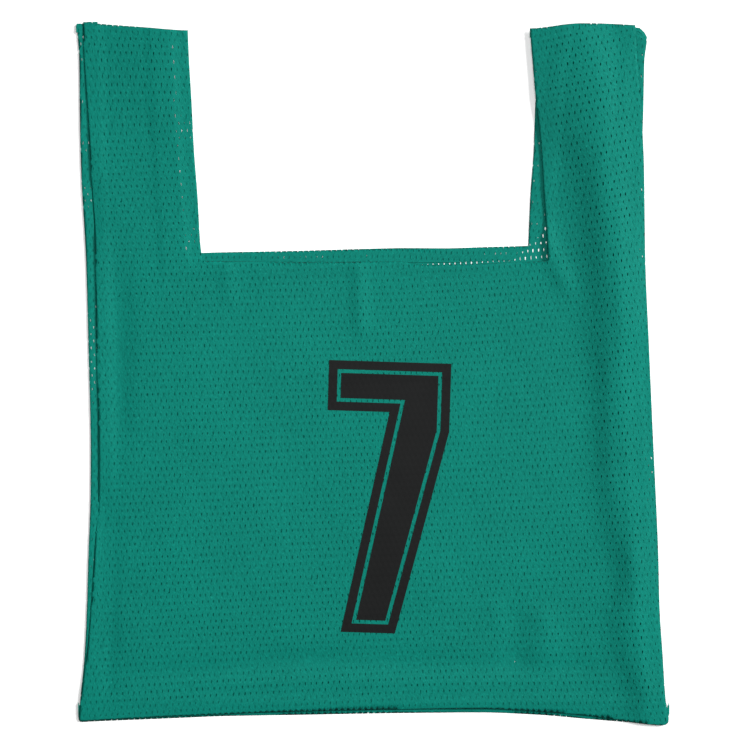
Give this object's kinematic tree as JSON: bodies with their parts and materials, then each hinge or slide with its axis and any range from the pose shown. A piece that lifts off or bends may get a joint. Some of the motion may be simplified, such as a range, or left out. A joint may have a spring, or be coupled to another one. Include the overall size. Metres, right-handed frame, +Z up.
{
  "type": "mesh training bib",
  "caption": "Sleeveless square-necked training bib of mesh knit, laid flat, with shoulder straps, open sides and a printed number.",
  "frame": {"origin": "middle of the bib's outline, on the surface that it lies on", "axes": "+Y from the hem to the shoulders, +X to the right of the bib as it is seen from above, +Z up, away from the surface"},
  "size_m": [0.592, 0.7028, 0.0081],
  "materials": {
    "front_mesh": "matt green polyester mesh knit",
    "back_mesh": "matt green polyester mesh knit, inner face",
    "turned_hem": "matt green polyester mesh knit, folded double"
  },
  "bodies": {
    "root": {"front_panel": "front_mesh", "back_panel": "back_mesh", "back_neck_hem": "turned_hem", "back_left_hem": "turned_hem", "back_strap_hem": "turned_hem", "back_bottom_hem": "turned_hem"}
  },
  "joints": []
}
